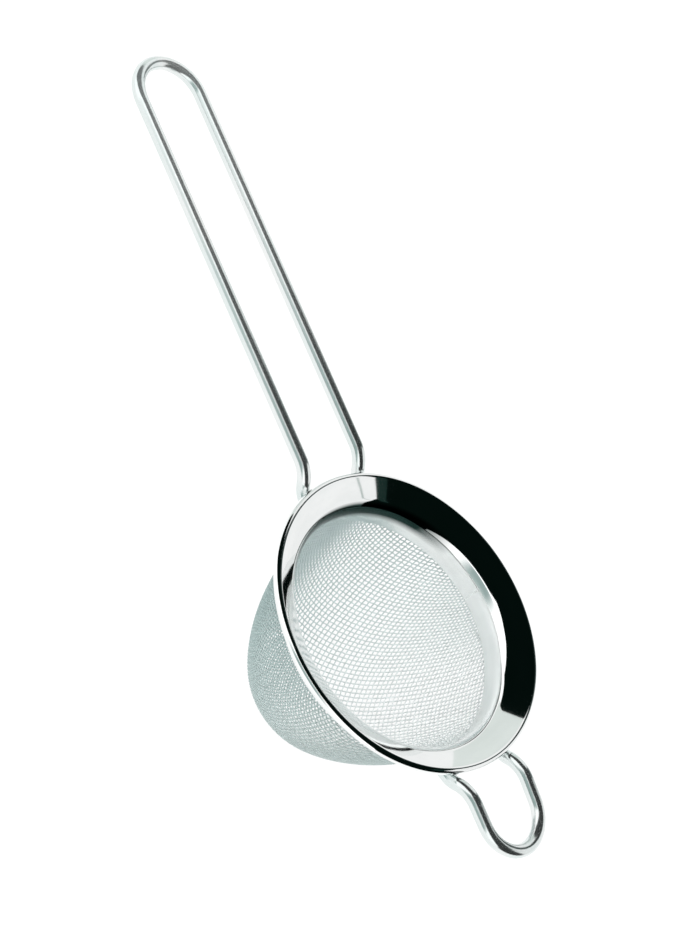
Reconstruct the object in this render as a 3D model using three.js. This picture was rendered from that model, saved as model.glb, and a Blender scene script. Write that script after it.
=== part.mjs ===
// Small round-bottomed tea strainer: a pressed steel rim with a wide flange, a woven
// wire bowl held in the rim's neck by a clamp ring, a long bent-wire handle and a
// short wire loop on the far side that rests on the brim of a cup.
// Millimetres, +Z up out of the mouth. The origin is the centre of the small flat
// under the bowl; the handle points to -X and the rest loop to +X.

import * as THREE from 'three';

// Rim: a shallow flange from the rolled bead down to a fold, then an upright neck.
const RIM_TOP = 53.4;          // height of the rim's top above the bowl's flat
const RIM_RADIUS = 40;         // over the rolled bead
const BEAD_RADIUS = 1.1;
const SHEET = 0.5;             // thickness of the rim's sheet
const FOLD_RADIUS = 31.4;      // where the flange would meet the neck with no bend
const FOLD_DROP = 4.1;         // below the rim's top
const FOLD_BEND = 4.5;         // bend radius of the fold's upper face
const NECK_RADIUS = 31.2;      // at the neck's lower edge
const NECK_DROP = 10.8;

// Bowl: a steep wall that runs into a round bottom. The woven cloth is a thin shell.
const CLOTH = 0.5;
const WALL_RADIUS = 32.35;     // outside, where the wall leaves the neck
const WALL_DROP = 11;
const CLOTH_EDGE_DROP = 6.8;   // the cloth's upper edge, clamped on the neck
const BOTTOM_RADIUS = 24;
const JOIN_ANGLE = THREE.MathUtils.degToRad(33);
const BASE_RADIUS = 5;         // flat under the bowl

// Clamp ring: a narrow band round the cloth's clamped edge.
const CLAMP_SHEET = 0.6;
const CLAMP_TOP_DROP = 7.1;
const CLAMP_FOOT_DROP = 9.6;
const SEAT_GAP = 0.15;         // clearance on each face of the clamped cloth

// Handle and rest loop: round wire bent into a U, with both ends turned down under
// the rim. Reaches are measured from the bowl's axis, heights from the rim's top.
const WIRE_RADIUS = 1.75;
const HANDLE = {
  name: 'handle_wire',
  side: -1,
  spacing: 20,                 // between the centre lines of the two legs at the end bend
  reach: 145.1,                // to the centre of the end bend
  knee: 43.6,                  // where the legs turn down
  slope: THREE.MathUtils.degToRad(5),
  height: 0.1,                 // of the centre line, level with the rim's edge
  splay: 0,                    // outward spread of each leg per mm towards the rim
};
const REST_LOOP = {
  name: 'rest_loop_wire',
  side: 1,
  spacing: 19.3,
  reach: 52,
  knee: 43.2,
  slope: THREE.MathUtils.degToRad(-7.2),
  height: 0.4,
  splay: 0.035,
};
const HEEL = new THREE.Vector2(39.4, -3.9);   // lower bend of each wire's turned-down end
const TOE = new THREE.Vector2(33.2, -5.3);    // cut end, against the flange's underside
const KNEE_BEND = 8;
const HEEL_BEND = 5;

// Facets
const ROUND_SEGMENTS = 48;
const WIRE_SIDES = 12;
const BEAD_STEPS = 10;
const FOLD_STEPS = 4;
const WALL_STEPS = 8;
const BOTTOM_STEPS = 7;
const BEND_STEPS = 5;
const LOOP_STEPS = 16;

const HALF_TURN = Math.PI;
const RIGHT_ANGLE = Math.PI / 2;

function steel(color, roughness) {
  return new THREE.MeshStandardMaterial({ color, roughness, metalness: 1 });
}

// A point at a radius and at a depth below the rim's top.
function below(radius, drop) {
  return new THREE.Vector2(radius, RIM_TOP - drop);
}

function onCircle(centre, radius, angle) {
  return new THREE.Vector2(
    centre.x + radius * Math.cos(angle),
    centre.y + radius * Math.sin(angle),
  );
}

function arc(centre, radius, from, to, steps) {
  return Array.from({ length: steps + 1 }, (_, i) =>
    onCircle(centre, radius, from + ((to - from) * i) / steps));
}

function shifted(point, direction, distance) {
  return point.clone().addScaledVector(direction, distance);
}

// The arc that rounds a corner between two straight runs.
function roundedCorner(before, corner, after, radius, steps) {
  const towardsBefore = before.clone().sub(corner).normalize();
  const towardsAfter = after.clone().sub(corner).normalize();
  const halfAngle = Math.acos(towardsBefore.dot(towardsAfter)) / 2;
  const bisector = towardsBefore.clone().add(towardsAfter).normalize();
  const centre = shifted(corner, bisector, radius / Math.sin(halfAngle));
  const start = shifted(corner, towardsBefore, radius / Math.tan(halfAngle)).sub(centre);
  const turn = (HALF_TURN - 2 * halfAngle) * Math.sign(start.cross(towardsAfter));
  return arc(centre, radius, start.angle(), start.angle() + turn, steps);
}

// Turned about +Z. The outline is listed with the solid on its left.
function turned(name, outline, material) {
  const geometry = new THREE.LatheGeometry(outline, ROUND_SEGMENTS);
  geometry.rotateX(RIGHT_ANGLE);
  const mesh = new THREE.Mesh(geometry, material);
  mesh.name = name;
  return mesh;
}

// The neck's inner face, and the unit normal that points out through the sheet.
const fold = below(FOLD_RADIUS, FOLD_DROP);
const neckEdge = below(NECK_RADIUS, NECK_DROP);
const neckUp = fold.clone().sub(neckEdge).normalize();
const neckOut = new THREE.Vector2(neckUp.y, -neckUp.x);

// A point beside the neck: a distance out from its inner face, at a depth below the top.
function besideNeck(distance, drop) {
  const foot = shifted(neckEdge, neckOut, distance);
  return shifted(foot, neckUp, (RIM_TOP - drop - foot.y) / neckUp.y);
}

function rim() {
  const beadCentre = below(RIM_RADIUS - BEAD_RADIUS, BEAD_RADIUS);
  const toBead = beadCentre.clone().sub(fold);
  const flangeAngle = toBead.angle() + Math.asin(BEAD_RADIUS / toBead.length());
  const flangeUp = new THREE.Vector2(Math.cos(flangeAngle), Math.sin(flangeAngle));
  const flangeOut = new THREE.Vector2(flangeUp.y, -flangeUp.x);
  const faceToCentre = BEAD_RADIUS - SHEET;
  const beadStart = flangeAngle + RIGHT_ANGLE;
  const beadEnd = flangeAngle - HALF_TURN - Math.asin(faceToCentre / BEAD_RADIUS);
  const upperFold = roundedCorner(beadCentre.clone().addScaledVector(flangeOut, -BEAD_RADIUS),
    fold, neckEdge, FOLD_BEND, FOLD_STEPS);
  const lowerFold = upperFold.map((point, i) => {
    const share = i / FOLD_STEPS;
    const out = flangeOut.clone().lerp(neckOut, share).normalize();
    return shifted(point, out, SHEET);
  });
  const outline = [
    ...arc(beadCentre, BEAD_RADIUS, beadStart, beadEnd, BEAD_STEPS),
    ...lowerFold,
    shifted(neckEdge, neckOut, SHEET),
    neckEdge,
    ...upperFold.reverse(),
  ];
  outline.push(outline[0].clone());
  return turned('rim', outline.reverse(), steel(0xd6dadb, 0.08));
}

// The bowl's outer face: the wall's arc is tangent to the bottom's and passes through
// the top of the wall.
const bottomCentre = new THREE.Vector2(0, Math.sqrt(BOTTOM_RADIUS ** 2 - BASE_RADIUS ** 2));
const join = onCircle(bottomCentre, BOTTOM_RADIUS, -JOIN_ANGLE);
const wallTop = below(WALL_RADIUS, WALL_DROP);
const chord = wallTop.clone().sub(join);
const joinNormal = join.clone().sub(bottomCentre).normalize();
const wallArcRadius = -chord.lengthSq() / (2 * chord.dot(joinNormal));
const wallCentre = shifted(join, joinNormal, -wallArcRadius);
const wallTopAngle = Math.asin((wallTop.y - wallCentre.y) / wallArcRadius);

// Up the bowl from the flat's edge to the clamped edge, at a depth inside its outer face.
function bowlFace(inset) {
  const bottomRadius = BOTTOM_RADIUS - inset;
  const flatAngle = Math.asin((inset - bottomCentre.y) / bottomRadius);
  return [
    ...arc(bottomCentre, bottomRadius, flatAngle, -JOIN_ANGLE, BOTTOM_STEPS),
    ...arc(wallCentre, wallArcRadius - inset, -JOIN_ANGLE, wallTopAngle, WALL_STEPS).slice(1),
    besideNeck(SHEET + SEAT_GAP + CLOTH - inset, CLOTH_EDGE_DROP),
  ];
}

function meshBowl() {
  const outline = [
    new THREE.Vector2(0, 0),
    ...bowlFace(0),
    ...bowlFace(CLOTH).reverse(),
    new THREE.Vector2(0, CLOTH),
  ];
  return turned('mesh_bowl', outline, steel(0xc9cfcf, 0.3));
}

function clampRing() {
  const inner = SHEET + CLOTH + 2 * SEAT_GAP;
  const outer = inner + CLAMP_SHEET;
  const outline = [
    besideNeck(inner, CLAMP_FOOT_DROP),
    besideNeck(outer, CLAMP_FOOT_DROP),
    besideNeck(outer, CLAMP_TOP_DROP),
    besideNeck(inner, CLAMP_TOP_DROP),
  ];
  outline.push(outline[0].clone());
  return turned('clamp_ring', outline, steel(0xcfd3d4, 0.12));
}

// A centre line through given points, sampled exactly at them.
class WirePath extends THREE.Curve {
  constructor(points) {
    super();
    this.points = points;
  }

  getPoint(t, target = new THREE.Vector3()) {
    const last = this.points.length - 1;
    const i = Math.min(Math.floor(t * last), last - 1);
    return target.lerpVectors(this.points[i], this.points[i + 1], t * last - i);
  }

  getUtoTmapping(u) {
    return u;
  }
}

function bentWire({ name, side, spacing, reach, knee, slope, height, splay }) {
  const half = spacing / 2;
  const along = new THREE.Vector2(Math.cos(slope), Math.sin(slope));
  const onLeg = (x) => new THREE.Vector2(x, height + (x - RIM_RADIUS) * Math.tan(slope));
  const bendCentre = onLeg(reach);
  const kneePoint = onLeg(knee);
  const leg = [
    TOE,
    ...roundedCorner(TOE, HEEL, kneePoint, HEEL_BEND, BEND_STEPS),
    ...roundedCorner(HEEL, kneePoint, bendCentre, KNEE_BEND, BEND_STEPS),
  ];
  const place = (point, y) => new THREE.Vector3(side * point.x, y, RIM_TOP + point.y);
  const oneLeg = leg.map((point) => place(point, -half - splay * (reach - point.x)));
  const otherLeg = oneLeg.map((point) => point.clone().setY(-point.y)).reverse();
  const endBend = Array.from({ length: LOOP_STEPS + 1 }, (_, i) => {
    const angle = (HALF_TURN * i) / LOOP_STEPS;
    return place(shifted(bendCentre, along, half * Math.sin(angle)), -half * Math.cos(angle));
  });
  const points = [...oneLeg, ...endBend, ...otherLeg];
  const section = new THREE.Shape().absarc(0, 0, WIRE_RADIUS, 0, 2 * Math.PI);
  const geometry = new THREE.ExtrudeGeometry(section, {
    steps: points.length - 1,
    curveSegments: WIRE_SIDES / 2,
    extrudePath: new WirePath(points),
  });
  const mesh = new THREE.Mesh(geometry, steel(0xd9dcdd, 0.07));
  mesh.name = name;
  return mesh;
}

const strainer = new THREE.Group();
strainer.add(rim(), meshBowl(), clampRing(), bentWire(HANDLE), bentWire(REST_LOOP));

export default strainer;
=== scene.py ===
# Round-bottomed tea strainer: a pressed and polished steel rim, a drawn bowl of woven
# wire, a clamp band, a long wire handle and a short wire rest loop.
# Shapes are worked out in millimetres in the row frame (+Z out of the mouth, handle
# towards -X) and scaled to metres as each mesh is made.
# The finishes and the studio's cards were fitted to the tones of one photo. They
# aren't known properties of the real strainer or of the room it was photographed in.
import math

import bpy
import numpy as np
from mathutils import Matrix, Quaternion, Vector


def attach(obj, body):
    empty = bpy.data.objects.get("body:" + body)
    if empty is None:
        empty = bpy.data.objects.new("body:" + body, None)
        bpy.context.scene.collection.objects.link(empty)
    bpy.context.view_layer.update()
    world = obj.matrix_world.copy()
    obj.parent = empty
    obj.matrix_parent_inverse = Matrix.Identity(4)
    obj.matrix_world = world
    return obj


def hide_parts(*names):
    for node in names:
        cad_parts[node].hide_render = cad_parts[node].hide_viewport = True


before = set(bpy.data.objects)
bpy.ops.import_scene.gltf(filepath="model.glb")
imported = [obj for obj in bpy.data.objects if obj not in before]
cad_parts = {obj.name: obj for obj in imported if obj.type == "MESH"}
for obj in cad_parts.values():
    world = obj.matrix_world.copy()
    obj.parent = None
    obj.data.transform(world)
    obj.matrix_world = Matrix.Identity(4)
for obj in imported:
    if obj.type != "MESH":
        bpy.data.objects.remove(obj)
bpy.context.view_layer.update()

MM = 0.001

# ---------------------------------------------------------------- dimensions (mm)
RIM_TOP = 53.4
RIM_RADIUS = 40.0
BEAD_RADIUS = 1.1
BEAD_CURL = math.radians(300)      # how far the rim's edge is rolled
SHEET = 0.5
FOLD_RADIUS, FOLD_DROP, FOLD_BEND = 31.4, 4.1, 4.8
NECK_RADIUS, NECK_DROP = 31.2, 10.8
RIPPLES = ((5, 0.7, 0.05), (9, 2.1, 0.04), (14, 4.0, 0.02))     # waves, phase, depth: a guess

CLOTH = 0.5
WALL_RADIUS, WALL_DROP = 32.35, 11.0
CLOTH_EDGE_DROP = 7.0
BOTTOM_RADIUS, BASE_RADIUS = 24.0, 5.0
JOIN_ANGLE = math.radians(33)

CLAMP_SHEET = 0.6
CLAMP_TOP_DROP, CLAMP_FOOT_DROP = 7.1, 9.6
SEAT_GAP = 0.15

WIRE_RADIUS = 1.75
WIRE_NOSE, WIRE_TIP = 0.3, 0.01    # rounding of the wires' cut ends, and its last radius
HANDLE = dict(side=-1, spacing=20.0, reach=145.1, knee=43.6, slope=math.radians(5.0),
              height=0.1, splay=0.0)
REST_LOOP = dict(side=1, spacing=19.3, reach=52.0, knee=43.2, slope=math.radians(-7.2),
                 height=0.4, splay=0.035)
HEEL, TOE = (39.4, -3.9), (33.2, -5.3)
KNEE_BEND, HEEL_BEND = 8.0, 5.0

# Woven cloth: 20 wires to the inch, laid diagonally to the handle
PITCH = 1.27
THREAD_RADIUS = 0.19
WAVE = 0.15                        # each wire's rise and fall about the cloth's middle
CLOTH_INSET = WAVE + THREAD_RADIUS
LAY_ANGLE = math.radians(42)

# Mesh fineness
AROUND = 288
BEAD_STEPS, BEAD_INSIDE_STEPS, FOLD_STEPS = 40, 32, 14
NOSE_STEPS, LIP_STEPS, BAND_EDGE_STEPS = 4, 6, 8
HEEL_STEPS, KNEE_STEPS, LEG_STEPS, LOOP_STEPS = 12, 16, 23, 48
THREAD_STEPS, THREAD_SIDES = 3, 5
SHORTEST_THREAD = 4                # points; shorter scraps at the cloth's edge are left out
CROSSING_ROUNDS = 12               # of Newton's method
WIRE_SIDES = 40
SHEET_CREASE = math.radians(50)    # edges sharper than this aren't shaded as smooth
WIRE_CREASE = math.radians(40)

FULL_TURN = 2 * math.pi


# ---------------------------------------------------------------- plane geometry
def unit(v):
    return v / np.linalg.norm(v)


def direction(angle):
    return np.array([math.cos(angle), math.sin(angle)])


def angle_of(v):
    return math.atan2(v[1], v[0])


def cross2(a, b):
    return a[0] * b[1] - a[1] * b[0]


def below(radius, drop):
    return np.array([radius, RIM_TOP - drop])


def arc(centre, radius, start, end, steps):
    return [centre + radius * direction(a) for a in np.linspace(start, end, steps + 1)]


def rounded_corner(before, corner, after, radius, steps):
    """The arc that rounds a corner between two straight runs."""
    before, corner, after = (np.asarray(p, float) for p in (before, corner, after))
    back, ahead = unit(before - corner), unit(after - corner)
    half = math.acos(float(back @ ahead)) / 2
    centre = corner + unit(back + ahead) * radius / math.sin(half)
    start = corner + back * radius / math.tan(half) - centre
    turn = (math.pi - 2 * half) * math.copysign(1, cross2(start, ahead))
    return arc(centre, radius, angle_of(start), angle_of(start) + turn, steps)


# ---------------------------------------------------------------- meshes
def new_object(name, vertices, faces, material, crease=None):
    mesh = bpy.data.meshes.new(name)
    mesh.from_pydata((np.asarray(vertices) * MM).tolist(), [], faces)
    mesh.polygons.foreach_set("use_smooth", [True] * len(mesh.polygons))
    if crease is not None:
        mesh.set_sharp_from_angle(angle=crease)
    mesh.materials.append(material)
    mesh.validate()
    obj = bpy.data.objects.new(name, mesh)
    bpy.context.scene.collection.objects.link(obj)
    return obj


def skin(rows, columns, first=0, close_rows=False, close_columns=True):
    """Quads over a grid of points numbered row by row."""
    faces = []
    for i in range(rows if close_rows else rows - 1):
        here, there = first + i * columns, first + (i + 1) % rows * columns
        for j in range(columns if close_columns else columns - 1):
            k = (j + 1) % columns
            faces.append((here + j, here + k, there + k, there + j))
    return faces


def lathe(name, outline, material, wobble=None):
    """Turns a closed outline, listed with the solid on its left, about +Z."""
    outline = np.array(outline)
    turns = np.arange(AROUND) * FULL_TURN / AROUND
    points = []
    for phi in turns:
        radius, height = (outline if wobble is None else wobble(outline, phi)).T
        points.append(np.stack([radius * math.cos(phi), radius * math.sin(phi), height], 1))
    faces = skin(AROUND, len(outline), close_rows=True)
    return new_object(name, np.concatenate(points), [f[::-1] for f in faces], material,
                      SHEET_CREASE)


# ---------------------------------------------------------------- rim and clamp band
fold = below(FOLD_RADIUS, FOLD_DROP)
neck_edge = below(NECK_RADIUS, NECK_DROP)
neck_up = unit(fold - neck_edge)
neck_out = np.array([neck_up[1], -neck_up[0]])


def beside_neck(distance, drop):
    foot = neck_edge + neck_out * distance
    return foot + neck_up * (RIM_TOP - drop - foot[1]) / neck_up[1]


def rim_outline():
    bead = below(RIM_RADIUS - BEAD_RADIUS, BEAD_RADIUS)
    to_bead = bead - fold
    flange_angle = angle_of(to_bead) + math.asin(BEAD_RADIUS / np.linalg.norm(to_bead))
    flange_out = direction(flange_angle - math.pi / 2)
    start = flange_angle + math.pi / 2
    upper_fold = rounded_corner(bead - BEAD_RADIUS * flange_out, fold, neck_edge, FOLD_BEND,
                                FOLD_STEPS)
    shares = np.linspace(0, 1, len(upper_fold))
    lower_fold = [p + SHEET * unit(flange_out * (1 - t) + neck_out * t)
                  for p, t in zip(upper_fold, shares)]
    tip = bead + (BEAD_RADIUS - SHEET / 2) * direction(start - BEAD_CURL)
    tip_angle = start - BEAD_CURL
    nose = arc(tip, SHEET / 2, tip_angle, tip_angle - math.pi, NOSE_STEPS)[1:-1]
    lip = neck_edge + neck_out * SHEET / 2
    lip_angle = angle_of(neck_out)
    return [
        *arc(bead, BEAD_RADIUS, start, start - BEAD_CURL, BEAD_STEPS),
        *nose,
        *arc(bead, BEAD_RADIUS - SHEET, start - BEAD_CURL, start, BEAD_INSIDE_STEPS),
        *lower_fold,
        *arc(lip, SHEET / 2, lip_angle, lip_angle - math.pi, LIP_STEPS),
        *upper_fold[::-1],
    ]


def rippled(outline, phi):
    """Ripples the neck slightly, fading out across the flange's inner half. The ripples
    are a guess that stands in for the uneven reflections on the photo's neck."""
    share = np.clip((RIM_TOP - FOLD_DROP + FOLD_BEND / 3 - outline[:, 1]) / FOLD_BEND, 0, 1)
    ripple = sum(depth * math.sin(waves * phi + phase) for waves, phase, depth in RIPPLES)
    return outline + np.outer(share * ripple, [1, 0])


def clamp_outline():
    edge = CLAMP_SHEET / 2
    middle = SHEET + CLOTH + 2 * SEAT_GAP + edge
    foot = beside_neck(middle, CLAMP_FOOT_DROP - edge)
    top = beside_neck(middle, CLAMP_TOP_DROP + edge)
    out = angle_of(neck_out)
    return [*arc(foot, edge, out - math.pi, out, BAND_EDGE_STEPS),
            *arc(top, edge, out, out + math.pi, BAND_EDGE_STEPS)]


# ---------------------------------------------------------------- bent wires
def wire_path(side, spacing, reach, knee, slope, height, splay):
    """Centre line of a U of wire whose two ends turn down under the rim."""
    half = spacing / 2

    def on_leg(x):
        return np.array([x, height + (x - RIM_RADIUS) * math.tan(slope)])

    end, bend = on_leg(reach), on_leg(knee)
    leg = [np.array(TOE), *rounded_corner(TOE, HEEL, bend, HEEL_BEND, HEEL_STEPS),
           *rounded_corner(HEEL, bend, end, KNEE_BEND, KNEE_STEPS)]
    straight = np.linspace(0, 1, LEG_STEPS + 1)[1:-1]
    leg += [leg[-1] * (1 - t) + end * t for t in straight]
    near = [(p[0], -half - splay * (reach - p[0]), p[1]) for p in leg]
    far = [(x, -y, z) for x, y, z in near[::-1]]
    along = direction(slope)
    loop = []
    for t in np.linspace(0, math.pi, LOOP_STEPS + 1):
        p = end + along * half * math.sin(t)
        loop.append((p[0], -half * math.cos(t), p[1]))
    return np.array([*near, *loop, *far]) * [side, 1, 1] + [0, 0, RIM_TOP]


def bent_wire(name, path, material):
    """A round wire along a path, with slightly rounded cut ends."""
    tangents = np.gradient(path, axis=0)
    tangents /= np.linalg.norm(tangents, axis=1)[:, None]
    first, last = tangents[0] * WIRE_NOSE, -tangents[-1] * WIRE_NOSE
    centres = np.array([path[0], path[0], path[0] + first, *path[1:-1],
                        path[-1] + last, path[-1], path[-1]])
    headings = np.array([tangents[0]] * 3 + list(tangents[1:-1]) + [tangents[-1]] * 3)
    radii = np.full(len(centres), WIRE_RADIUS)
    radii[[0, -1]], radii[[1, -2]] = WIRE_TIP, WIRE_RADIUS - WIRE_NOSE
    normal = unit(np.cross(headings[0], [0, 1, 0]))
    turns = np.arange(WIRE_SIDES) * FULL_TURN / WIRE_SIDES
    points = []
    for centre, heading, size in zip(centres, headings, radii):
        normal = unit(normal - heading * (normal @ heading))
        binormal = np.cross(heading, normal)
        points.append(centre + size * (np.outer(np.cos(turns), normal)
                                       + np.outer(np.sin(turns), binormal)))
    faces = skin(len(centres), WIRE_SIDES)
    end = (len(centres) - 1) * WIRE_SIDES
    faces.append(tuple(range(WIRE_SIDES))[::-1])
    faces.append(tuple(range(end, end + WIRE_SIDES)))
    return new_object(name, np.concatenate(points), [f[::-1] for f in faces], material,
                      WIRE_CREASE)


# ---------------------------------------------------------------- woven bowl
bottom_centre = np.array([0.0, math.sqrt(BOTTOM_RADIUS ** 2 - BASE_RADIUS ** 2)])
join = bottom_centre + BOTTOM_RADIUS * direction(-JOIN_ANGLE)
wall_top = below(WALL_RADIUS, WALL_DROP)
chord = wall_top - join
join_normal = direction(-JOIN_ANGLE)
wall_arc = -(chord @ chord) / (2 * chord @ join_normal)
wall_centre = join - join_normal * wall_arc
clamped_face = beside_neck(SHEET + SEAT_GAP + CLOTH, WALL_DROP)


def off_cloth(points):
    """Distance outside the cloth's middle surface, and the surface's normal, at points."""
    points = np.atleast_2d(points)
    rho = np.hypot(points[:, 0], points[:, 1])
    q = np.stack([rho, points[:, 2]], 1)
    from_bottom, from_wall = q - bottom_centre, q - wall_centre
    bottom_length = np.linalg.norm(from_bottom, axis=1)
    wall_length = np.linalg.norm(from_wall, axis=1)
    on_base = (rho < BASE_RADIUS) & (q[:, 1] < BOTTOM_RADIUS)
    on_bottom = np.arctan2(from_bottom[:, 1], from_bottom[:, 0]) < -JOIN_ANGLE
    on_neck = q[:, 1] > wall_top[1]
    distance = np.select([on_neck, on_base, on_bottom],
                         [(q - clamped_face) @ neck_out, -q[:, 1], bottom_length - BOTTOM_RADIUS],
                         wall_length - wall_arc) + CLOTH_INSET
    outward = np.where(on_bottom[:, None], from_bottom / bottom_length[:, None],
                       from_wall / wall_length[:, None])
    outward = np.where(on_base[:, None], [0, -1], outward)
    outward = np.where(on_neck[:, None], neck_out, outward)
    safe = np.maximum(rho, 1e-9)
    normals = np.stack([outward[:, 0] * points[:, 0] / safe,
                        outward[:, 0] * points[:, 1] / safe, outward[:, 1]], 1)
    return distance, normals


def crossing(guess, anchors, plane=None):
    """The point of the cloth one pitch away from each anchor and, if a plane's normal is
    given, on that plane through the origin."""
    p = guess.copy()
    for _ in range(CROSSING_ROUNDS):
        distance, normal = off_cloth(p)
        rows, rests = [normal[0]], [distance[0]]
        for a in anchors:
            gap = p - a
            length = np.linalg.norm(gap)
            rows.append(gap / length)
            rests.append(length - PITCH)
        if plane is not None:
            rows.append(plane)
            rests.append(p @ plane)
        step = np.linalg.lstsq(np.array(rows), np.array(rests), rcond=None)[0]
        p = p - step * min(1.0, PITCH / 2 / max(np.linalg.norm(step), 1e-9))
    return p


def net_quarter():
    """Crossings of the drawn cloth in one quarter of the bowl. The cloth is taken to keep
    its pitch along every wire and only shear, so each crossing is a pitch from two others."""
    edge = RIM_TOP - CLOTH_EDGE_DROP
    pole = np.array([0.0, 0.0, CLOTH_INSET])
    along_x, across_x = np.array([1.0, 0.0, 0.0]), np.array([0.0, 1.0, 0.0])
    axis = [pole, crossing(pole + along_x * PITCH, [pole], across_x)]
    while axis[-1][2] < edge + PITCH:
        axis.append(crossing(2 * axis[-1] - axis[-2], [axis[-1]], across_x))
    net = {(i, 0): p for i, p in enumerate(axis)}
    net.update({(0, i): np.array([-p[1], p[0], p[2]]) for i, p in enumerate(axis)})
    for i in range(1, len(axis)):
        for j in range(1, i + 1):
            a, b, o = net.get((i - 1, j)), net.get((i, j - 1)), net.get((i - 1, j - 1))
            if a is None or b is None or min(a[2], b[2]) > edge + PITCH / 2:
                continue
            p = crossing(a + b - o, [a, b])
            net[i, j] = p
            if i != j:
                net[j, i] = np.array([p[1], p[0], p[2]])
    return net


def whole_net():
    net = {}
    for (i, j), (x, y, z) in net_quarter().items():
        for _ in range(4):
            net[i, j] = np.array([x, y, z])
            i, j, x, y = -j, i, -y, x
    return net


def thread_runs(net):
    """Each wire that runs along the first direction, as a list of numbered crossings,
    with the number of its row."""
    rows = sorted({j for _, j in net})
    for j in rows:
        columns = sorted(i for i, row in net if row == j)
        run = []
        for i in range(columns[0], columns[-1] + 2):
            if (i, j) in net:
                run.append((i, net[i, j]))
            elif len(run) > 1:
                yield run, j
                run = []


def thread_line(run, j):
    """Closely spaced points of one wire, rising and falling about the cloth's middle, with
    the cloth's normals there and whether each point is below the cloth's cut edge."""
    index = np.array([i for i, _ in run], float)
    nodes = np.array([p for _, p in run])
    steps = np.linspace(index[0], index[-1], int(index[-1] - index[0]) * THREAD_STEPS + 1)
    here = np.clip(np.floor(steps - index[0]).astype(int), 0, len(run) - 2)
    t = (steps - index[0] - here)[:, None]
    last = len(run) - 1
    p0, p1 = nodes[np.maximum(here - 1, 0)], nodes[here]
    p2, p3 = nodes[here + 1], nodes[np.minimum(here + 2, last)]
    spline = 0.5 * (2 * p1 + (p2 - p0) * t + (2 * p0 - 5 * p1 + 4 * p2 - p3) * t ** 2
                    + (3 * p1 - p0 - 3 * p2 + p3) * t ** 3)
    distance, normals = off_cloth(spline)
    middle = spline - normals * distance[:, None]
    lift = WAVE * np.cos(math.pi * (steps + j))[:, None]
    return middle + normals * lift, normals, middle[:, 2] < RIM_TOP - CLOTH_EDGE_DROP


def weave(name, net, turn, sign, material):
    """All the wires that run one way, turned about +Z. With sign -1 they are mirrored
    through the cloth's middle, so that they pass under where the others pass over."""
    turns = np.arange(THREAD_SIDES) * FULL_TURN / THREAD_SIDES
    points, faces, count = [], [], 0
    for run, j in thread_runs(net):
        line, normals, inside = thread_line(run, j)
        if sign < 0:
            middle = line
            distance, _ = off_cloth(line)
            line = middle - 2 * normals * distance[:, None]
        line, normals = line[inside], normals[inside]
        if len(line) < SHORTEST_THREAD:
            continue
        tangents = np.gradient(line, axis=0)
        tangents /= np.linalg.norm(tangents, axis=1)[:, None]
        sides = np.cross(tangents, normals)
        rings = (line[:, None] + THREAD_RADIUS
                 * (np.cos(turns)[None, :, None] * normals[:, None]
                    + np.sin(turns)[None, :, None] * sides[:, None]))
        points.append(rings.reshape(-1, 3))
        faces += skin(len(line), THREAD_SIDES, first=count)
        end = count + (len(line) - 1) * THREAD_SIDES
        faces.append(tuple(range(count, count + THREAD_SIDES))[::-1])
        faces.append(tuple(range(end, end + THREAD_SIDES)))
        count += len(line) * THREAD_SIDES
    points = np.concatenate(points)
    c, s = math.cos(turn), math.sin(turn)
    points[:, :2] = points[:, :2] @ np.array([[c, s], [-s, c]])
    return new_object(name, points, faces, material)


# ---------------------------------------------------------------- materials
# Places are in metres in the row frame, each pair from where a change starts to where
# it is complete.
BOWL_MIDDLE = (0.0, 0.0, 0.045)    # the cloth's outer side faces away from here
OUTSIDE_FACING = (-0.2, 0.4)       # how squarely, as cosines
# painted shade on the cloth's outer side
OUTSIDE_PAINTED_SHADE = (0.58, 0.665, 0.655)
HANDLE_SIDE_ALONG_X = (0.015, -0.02)
HANDLE_SIDE_TINT = (0.74, 0.81, 0.81)
PALE_NECK_ALONG_Z = (0.0492, 0.0482)           # from the rim's fold down into its neck
PALE_NECK_ALONG_X = (-0.01, 0.01)
PALE_NECK_LOSS = 0.6               # of the metallic share
# a painted dark reflection on the rim's fold and neck beside the handle
PAINTED_REFLECTION_FOOT, PAINTED_REFLECTION_TOP = (0.0450, 0.0472), (0.0503, 0.0496)
PAINTED_REFLECTION_ALONG_X = (-0.013, -0.022)
PAINTED_REFLECTION_COLOR = (0.02, 0.045, 0.04)
HANDLE_METAL_ALONG_X = (-0.05, -0.15)
HANDLE_METAL = (0.97, 0.86)        # metallic share near the rim and at the far end
MARKS_SPREAD = (0.3, 0.7)          # noise levels of the darkest and the lightest steel
MARKS_DETAIL, MARKS_RELIEF = 4.0, 0.3


def node_material(name):
    material = bpy.data.materials.new(name)
    material.use_nodes = True
    return material, material.node_tree.nodes, material.node_tree.links


def fade_along(nodes, links, axis, reach, levels=(0.0, 1.0)):
    """Runs from one level to another between two places along an axis."""
    place = nodes.new("ShaderNodeTexCoord")
    along = nodes.new("ShaderNodeSeparateXYZ")
    links.new(place.outputs["Object"], along.inputs["Vector"])
    fade = nodes.new("ShaderNodeMapRange")
    fade.inputs["From Min"].default_value, fade.inputs["From Max"].default_value = reach
    fade.inputs["To Min"].default_value, fade.inputs["To Max"].default_value = levels
    links.new(along.outputs[axis], fade.inputs["Value"])
    return fade.outputs["Result"]


def product(nodes, links, first, second):
    both = nodes.new("ShaderNodeMath")
    both.operation = "MULTIPLY"
    links.new(first, both.inputs[0])
    links.new(second, both.inputs[1])
    return both.outputs["Value"]


def tinted(nodes, links, color, tint, factor):
    mix = nodes.new("ShaderNodeMix")
    mix.data_type, mix.blend_type = "RGBA", "MULTIPLY"
    mix.inputs["B"].default_value = (*tint, 1)
    links.new(factor, mix.inputs["Factor"])
    links.new(color, mix.inputs["A"])
    return mix.outputs["Result"]


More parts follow.
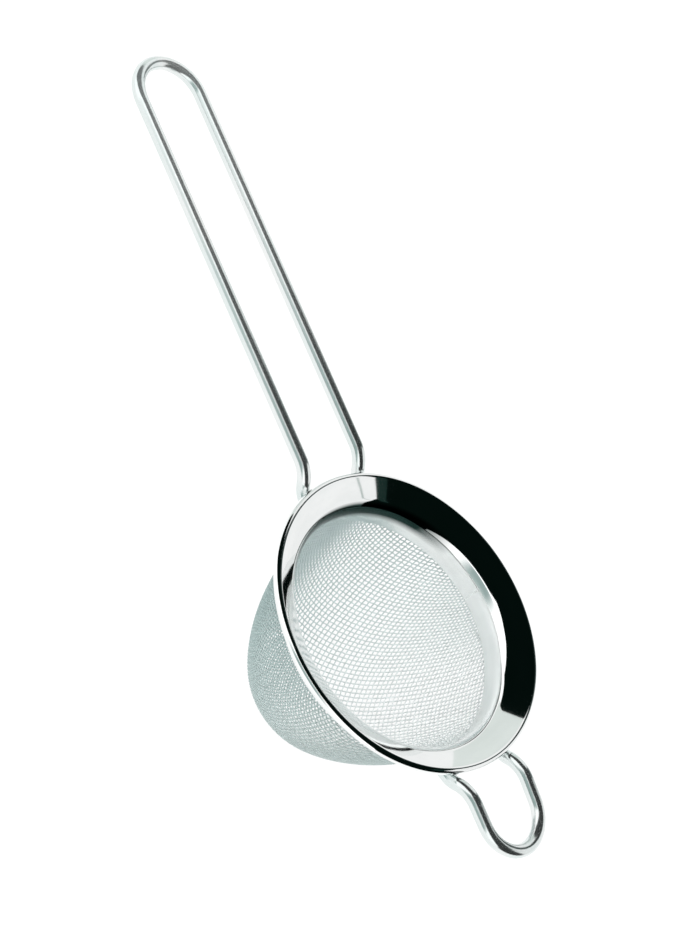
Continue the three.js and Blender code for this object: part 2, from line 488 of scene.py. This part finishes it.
def painted_outer_shade(nodes, links, color):
    """Painted shade: darkens the cloth's outer side so that it reads less lit than its inside."""
    place = nodes.new("ShaderNodeTexCoord")
    from_middle = nodes.new("ShaderNodeVectorMath")
    from_middle.operation = "SUBTRACT"
    from_middle.inputs[1].default_value = BOWL_MIDDLE
    links.new(place.outputs["Object"], from_middle.inputs[0])
    heading = nodes.new("ShaderNodeVectorMath")
    heading.operation = "NORMALIZE"
    links.new(from_middle.outputs["Vector"], heading.inputs[0])
    facing = nodes.new("ShaderNodeVectorMath")
    facing.operation = "DOT_PRODUCT"
    links.new(heading.outputs["Vector"], facing.inputs[0])
    links.new(place.outputs["Normal"], facing.inputs[1])
    share = nodes.new("ShaderNodeMapRange")
    share.inputs["From Min"].default_value, share.inputs["From Max"].default_value = OUTSIDE_FACING
    links.new(facing.outputs["Value"], share.inputs["Value"])
    return tinted(nodes, links, color, OUTSIDE_PAINTED_SHADE, share.outputs["Result"])


def handle_side_shade(nodes, links, color):
    """Darkens the cloth towards the handle, as in the photo. Why it is darker isn't known."""
    return tinted(nodes, links, color, HANDLE_SIDE_TINT,
                  fade_along(nodes, links, "X", HANDLE_SIDE_ALONG_X))


def painted_reflection_band(nodes, links, color):
    """Painted reflection: darkens a band of the rim's fold and neck beside the handle. It stands in
    for a dark patch in the photo, probably a reflection, that the overhead cards can't make there."""
    band = product(nodes, links, fade_along(nodes, links, "Z", PAINTED_REFLECTION_FOOT),
                   fade_along(nodes, links, "Z", PAINTED_REFLECTION_TOP))
    factor = product(nodes, links, band, fade_along(nodes, links, "X", PAINTED_REFLECTION_ALONG_X))
    return tinted(nodes, links, color, PAINTED_REFLECTION_COLOR, factor)


def pale_neck(nodes, links):
    """The rim's metallic share: full, but lower on the neck away from the handle, to bring
    its tone nearer the photo's."""
    loss = product(nodes, links, fade_along(nodes, links, "Z", PALE_NECK_ALONG_Z),
                   fade_along(nodes, links, "X", PALE_NECK_ALONG_X, (0.0, PALE_NECK_LOSS)))
    metal = nodes.new("ShaderNodeMath")
    metal.operation = "SUBTRACT"
    metal.inputs[0].default_value = 1.0
    links.new(loss, metal.inputs[1])
    return metal.outputs["Value"]


def pale_far_end(nodes, links):
    """The wires' metallic share, a little lower at the handle's far end, where the dark
    line along them is paler in the photo."""
    return fade_along(nodes, links, "X", HANDLE_METAL_ALONG_X, HANDLE_METAL)


def steel(name, light, dark, roughness, scale, stretch, bump, finishes=(), metal=1.0,
          metal_map=None):
    """Steel whose tint and gloss vary a little, in streaks if stretched. Each finish
    changes the colour further, and metal_map replaces the constant metallic share."""
    material, nodes, links = node_material(name)
    shader = nodes["Principled BSDF"]
    shader.inputs["Metallic"].default_value = metal
    if metal_map is not None:
        links.new(metal_map(nodes, links), shader.inputs["Metallic"])
    place = nodes.new("ShaderNodeTexCoord")
    mapping = nodes.new("ShaderNodeMapping")
    mapping.inputs["Scale"].default_value = stretch
    links.new(place.outputs["Object"], mapping.inputs["Vector"])
    marks = nodes.new("ShaderNodeTexNoise")
    marks.inputs["Scale"].default_value = scale
    marks.inputs["Detail"].default_value = MARKS_DETAIL
    links.new(mapping.outputs["Vector"], marks.inputs["Vector"])
    tint = nodes.new("ShaderNodeValToRGB")
    for stop, position, color in zip(tint.color_ramp.elements, MARKS_SPREAD, (dark, light)):
        stop.position = position
        stop.color = (*color, 1)
    links.new(marks.outputs["Fac"], tint.inputs["Fac"])
    color = tint.outputs["Color"]
    for finish in finishes:
        color = finish(nodes, links, color)
    links.new(color, shader.inputs["Base Color"])
    gloss = nodes.new("ShaderNodeMapRange")
    gloss.inputs["To Min"].default_value, gloss.inputs["To Max"].default_value = roughness
    links.new(marks.outputs["Fac"], gloss.inputs["Value"])
    links.new(gloss.outputs["Result"], shader.inputs["Roughness"])
    relief = nodes.new("ShaderNodeBump")
    relief.inputs["Strength"].default_value = MARKS_RELIEF
    relief.inputs["Distance"].default_value = bump * MM
    links.new(marks.outputs["Fac"], relief.inputs["Height"])
    links.new(relief.outputs["Normal"], shader.inputs["Normal"])
    return material


SHEET_LOOK = dict(light=(0.93, 0.945, 0.94), dark=(0.87, 0.89, 0.885), roughness=(0.03, 0.07),
                  scale=90, stretch=(1, 1, 6), bump=0.004)
WIRE_LOOK = dict(light=(0.82, 0.84, 0.835), dark=(0.70, 0.77, 0.76), roughness=(0.12, 0.22),
                 scale=200, stretch=(0.15, 1, 1), bump=0.01)
CLOTH_LOOK = dict(light=(0.96, 0.98, 0.98), dark=(0.88, 0.91, 0.905), roughness=(0.32, 0.50),
                  scale=400, stretch=(1, 1, 1), bump=0.01, metal=0.62)

# The rim's colour carries a painted dark reflection band on its fold and neck.
rim_steel = steel("polished_rim_steel", finishes=(painted_reflection_band,), metal_map=pale_neck, **SHEET_LOOK)
band_steel = steel("polished_band_steel", **SHEET_LOOK)
wire_steel = steel("polished_wire_steel", metal_map=pale_far_end, **WIRE_LOOK)
# The cloth's outer side gets painted shade.
cloth_steel = steel("woven_wire_steel", finishes=(painted_outer_shade, handle_side_shade), **CLOTH_LOOK)


# ---------------------------------------------------------------- pieces
def piece(obj, slot, *nodes):
    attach(obj, "root")
    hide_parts(*nodes)


net = whole_net()
piece(lathe("rim_sheet", rim_outline(), rim_steel, rippled), "polished_sheet", "rim")
piece(lathe("clamp_band", clamp_outline(), band_steel), "polished_sheet", "clamp_ring")
piece(weave("cloth_warp", net, LAY_ANGLE, 1, cloth_steel), "wire_cloth", "mesh_bowl")
piece(weave("cloth_weft", net, LAY_ANGLE + math.pi / 2, -1, cloth_steel), "wire_cloth", "mesh_bowl")
piece(bent_wire("handle_bar", wire_path(**HANDLE), wire_steel), "polished_wire", "handle_wire")
piece(bent_wire("rest_loop_bar", wire_path(**REST_LOOP), wire_steel), "polished_wire",
      "rest_loop_wire")

# ---------------------------------------------------------------- camera
# Fitted to the rim, the handle and the rest loop as the photo shows them
CAMERA_TARGET = Vector((-43.05, 12.8, RIM_TOP - 7.45))
CAMERA_DISTANCE = 525.5
CAMERA_ELEVATION = math.radians(42.83)
CAMERA_AZIMUTH = math.radians(-75.65)
CAMERA_ROLL = math.radians(52.57)
CAMERA_LENS = 79.44
CAMERA_CLIP = (0.01, 20)           # metres

camera = bpy.data.objects.new("camera", bpy.data.cameras.new("camera"))
bpy.context.scene.collection.objects.link(camera)
bpy.context.scene.camera = camera
camera.data.lens = CAMERA_LENS
camera.data.clip_start, camera.data.clip_end = CAMERA_CLIP
backwards = Vector((math.cos(CAMERA_ELEVATION) * math.cos(CAMERA_AZIMUTH),
                    math.cos(CAMERA_ELEVATION) * math.sin(CAMERA_AZIMUTH),
                    math.sin(CAMERA_ELEVATION)))
camera.location = (CAMERA_TARGET + backwards * CAMERA_DISTANCE) * MM
camera.rotation_mode = "QUATERNION"
camera.rotation_quaternion = ((-backwards).to_track_quat("-Z", "Y")
                              @ Quaternion((0, 0, 1), CAMERA_ROLL))


# ---------------------------------------------------------------- studio
def glow_material(name, color, strength, diffuse=None):
    """Light of its own. With a diffuse share it is also matt white, and clear from below."""
    material, nodes, links = node_material(name)
    nodes.remove(nodes["Principled BSDF"])
    glow = nodes.new("ShaderNodeEmission")
    glow.inputs["Color"].default_value = (*color, 1)
    glow.inputs["Strength"].default_value = strength
    surface = glow.outputs["Emission"]
    if diffuse is not None:
        matt = nodes.new("ShaderNodeBsdfDiffuse")
        matt.inputs["Color"].default_value = (diffuse, diffuse, diffuse, 1)
        both = nodes.new("ShaderNodeAddShader")
        links.new(surface, both.inputs[0])
        links.new(matt.outputs["BSDF"], both.inputs[1])
        side = nodes.new("ShaderNodeNewGeometry")
        clear = nodes.new("ShaderNodeBsdfTransparent")
        mix = nodes.new("ShaderNodeMixShader")
        links.new(side.outputs["Backfacing"], mix.inputs["Fac"])
        links.new(both.outputs["Shader"], mix.inputs[1])
        links.new(clear.outputs["BSDF"], mix.inputs[2])
        surface = mix.outputs["Shader"]
    links.new(surface, nodes["Material Output"].inputs["Surface"])
    return material


def faded_glow(name, color, strength):
    """Light of its own, white at the left and right edges and tinted in between."""
    material, nodes, links = node_material(name)
    nodes.remove(nodes["Principled BSDF"])
    place = nodes.new("ShaderNodeTexCoord")
    across = nodes.new("ShaderNodeSeparateXYZ")
    links.new(place.outputs["Generated"], across.inputs["Vector"])
    fade = nodes.new("ShaderNodeValToRGB")
    fade.color_ramp.interpolation = "EASE"
    fade.color_ramp.elements[0].color = fade.color_ramp.elements[1].color = (1, 1, 1, 1)
    for position in SCREEN_TINTED:
        fade.color_ramp.elements.new(position).color = (*color, 1)
    links.new(across.outputs["X"], fade.inputs["Fac"])
    glow = nodes.new("ShaderNodeEmission")
    glow.inputs["Strength"].default_value = strength
    links.new(fade.outputs["Color"], glow.inputs["Color"])
    links.new(glow.outputs["Emission"], nodes["Material Output"].inputs["Surface"])
    return material


def card(name, corners, material, seen=False):
    """A flat stage panel, its corners in metres."""
    mesh = bpy.data.meshes.new(name)
    mesh.from_pydata(corners, [], [tuple(range(len(corners)))])
    mesh.materials.append(material)
    obj = bpy.data.objects.new(name, mesh)
    bpy.context.scene.collection.objects.link(obj)
    obj.visible_camera = seen
    return obj


def overhead_card(name, slopes, color, strength, drop=0.0):
    """A level card over the strainer. Its corners are slopes, x and y over height, to set
    beside the directions that the rim and the wires reflect."""
    height = CARD_HEIGHT - drop
    card(name, [(x * height, y * height, height) for x, y in slopes],
         glow_material(name, color, strength))


def level_square(half, height):
    return [(x * half, y * half, height) for x, y in ((-1, -1), (1, -1), (1, 1), (-1, 1))]


def upright(sides, height):
    """Corners of a panel that stands at floor level, as places across and up."""
    return [(sides[0], 0.0), (sides[1], 0.0), (sides[1], height), (sides[0], height)]


def sky(levels):
    """A white surround, brighter on the camera's side than on the far side."""
    world = bpy.data.worlds.new("studio")
    bpy.context.scene.world = world
    world.use_nodes = True
    nodes, links = world.node_tree.nodes, world.node_tree.links
    place = nodes.new("ShaderNodeTexCoord")
    parts = nodes.new("ShaderNodeSeparateXYZ")
    level = nodes.new("ShaderNodeMapRange")
    level.inputs["From Min"].default_value, level.inputs["From Max"].default_value = SKY_ALONG_Y
    level.inputs["To Min"].default_value, level.inputs["To Max"].default_value = levels
    links.new(place.outputs["Generated"], parts.inputs["Vector"])
    links.new(parts.outputs["Y"], level.inputs["Value"])
    links.new(level.outputs["Result"], nodes["Background"].inputs["Strength"])
    nodes["Background"].inputs["Color"].default_value = (1, 1, 1, 1)


# Sizes and places of the studio are in metres.
WHITE = (1.0, 1.0, 1.0)
BLACK_CLOTH = dict(color=(0.3, 1.0, 0.8), strength=0.004)
WING_CLOTH = dict(color=(0.7, 1.0, 0.95), strength=0.06)
PALE_BOARD = dict(color=(0.94, 1.0, 0.97), strength=0.80)
HEM_CLOTH = dict(color=(0.4, 1.0, 0.85), strength=0.026)
STAND_PAINT = dict(color=(0.9, 1.0, 0.97), strength=0.55)
CARD_HEIGHT, HEM_DROP = 1.6, 0.01
FLOOR_SIZE, FLOOR_GLOW, FLOOR_WHITE = 6.0, 0.93, 0.10
SOFT_LIGHT_SIZE, SOFT_LIGHT_HEIGHT, SOFT_LIGHT_GLOW = 0.8, 1.2, 3.6
END_DISTANCE, END_Y = 5.6, (-2.9, 3.4)         # a black panel past the rest loop
SCREEN_DISTANCE, SCREEN_HEIGHT = 2.0, 2.4      # a grey screen behind the camera
SCREEN_X = (-1.05, 1.2)
SCREEN_COLOR = (0.26, 0.33, 0.32)
SCREEN_TINTED = (0.35, 0.65)       # from and to these shares of the screen's width
SKY_LEVELS = (1.30, 0.95)          # on the camera's side and on the far side
SKY_ALONG_Y = (-0.5, 0.5)          # y of the directions between which the level changes

# The black flag and the grey wing make the dark half of the flange and the dark line
# along each wire. The corners of all five overhead cards were chosen by matching the
# render to the photo.
FLAG = ((-3.0, -0.8), (-0.6, -0.55), (-0.24, -0.38), (-0.14, -0.62), (0.3, -0.66), (3.5, -1.8),
        (3.5, 2.2), (1.3, 0.85), (0.85, 0.66), (0.25, 0.84), (-0.32, 0.95), (-0.45, 0.62),
        (-1.06, 0.60), (-3.0, 0.60))
WING = ((0.25, 0.84), (0.35, 2.0), (0.5, 4.0), (-0.75, 4.0), (-0.42, 2.0), (-0.22, 0.93))
BOARD = ((-0.9, 0.6), (-1.2, 1.2), (-2.0, 4.0), (-6.0, 4.0), (-6.0, 0.6))
HEM = ((1.10, 0.59), (0.50, 0.76), (0.45, 0.62), (1.05, 0.45))
STAND = ((1.17, 0.81), (1.18, 0.85), (0.61, 1.03), (0.60, 0.99))

card("floor", level_square(FLOOR_SIZE, 0.0),
     glow_material("pale_floor", WHITE, FLOOR_GLOW, FLOOR_WHITE), seen=True)
overhead_card("black_flag", FLAG, **BLACK_CLOTH)
card("black_end", [(END_DISTANCE, y, z) for y, z in upright(END_Y, CARD_HEIGHT)],
     glow_material("end_cloth", **BLACK_CLOTH))
overhead_card("grey_wing", WING, **WING_CLOTH)
overhead_card("pale_board", BOARD, **PALE_BOARD)
overhead_card("flag_hem", HEM, **HEM_CLOTH, drop=HEM_DROP)
overhead_card("flag_stand", STAND, **STAND_PAINT)
soft_light = card("soft_light", level_square(SOFT_LIGHT_SIZE, SOFT_LIGHT_HEIGHT),
                  glow_material("soft_light", WHITE, SOFT_LIGHT_GLOW))
soft_light.visible_glossy = False
card("grey_screen", [(x, -SCREEN_DISTANCE, z) for x, z in upright(SCREEN_X, SCREEN_HEIGHT)],
     faded_glow("screen_cloth", SCREEN_COLOR, SKY_LEVELS[0]))
sky(SKY_LEVELS)
bpy.context.scene.view_settings.view_transform = "Standard"
